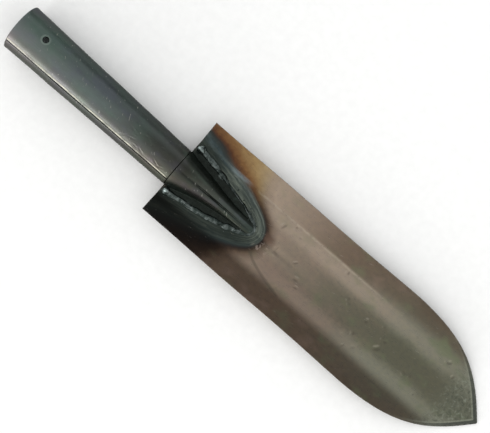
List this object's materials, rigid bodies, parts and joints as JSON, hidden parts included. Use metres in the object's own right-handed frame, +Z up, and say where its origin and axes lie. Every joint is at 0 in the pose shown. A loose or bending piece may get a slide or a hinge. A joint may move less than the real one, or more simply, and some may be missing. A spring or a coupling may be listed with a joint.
{
  "type": "hand trowel",
  "caption": "Narrow all-steel garden trowel: a long shallow trough blade with a pointed nose, welded under the pressed tongue of a tapered tube handle.",
  "frame": {"origin": "bottom centre of the whole tool as it lies on a bench", "axes": "+X along the tool from the handle to the blade's tip, +Z up, out of the blade's hollow face, +Y across the tool, to the left when looking at the tip from the handle"},
  "size_m": [0.3644, 0.0696, 0.0305],
  "materials": {
    "blade_steel": "satin, heat-tinted near the weld, under a thin clear coat",
    "handle_steel": "satin mill-scale grey, heat-blackened at the tongue, under a thin clear coat",
    "weld_metal": "rippled weld bead, dark oxide, under a thin clear coat"
  },
  "bodies": {
    "root": {"blade": "blade_steel", "handle": "handle_steel", "left_weld": "weld_metal", "right_weld": "weld_metal", "tip_weld": "weld_metal"}
  },
  "joints": []
}
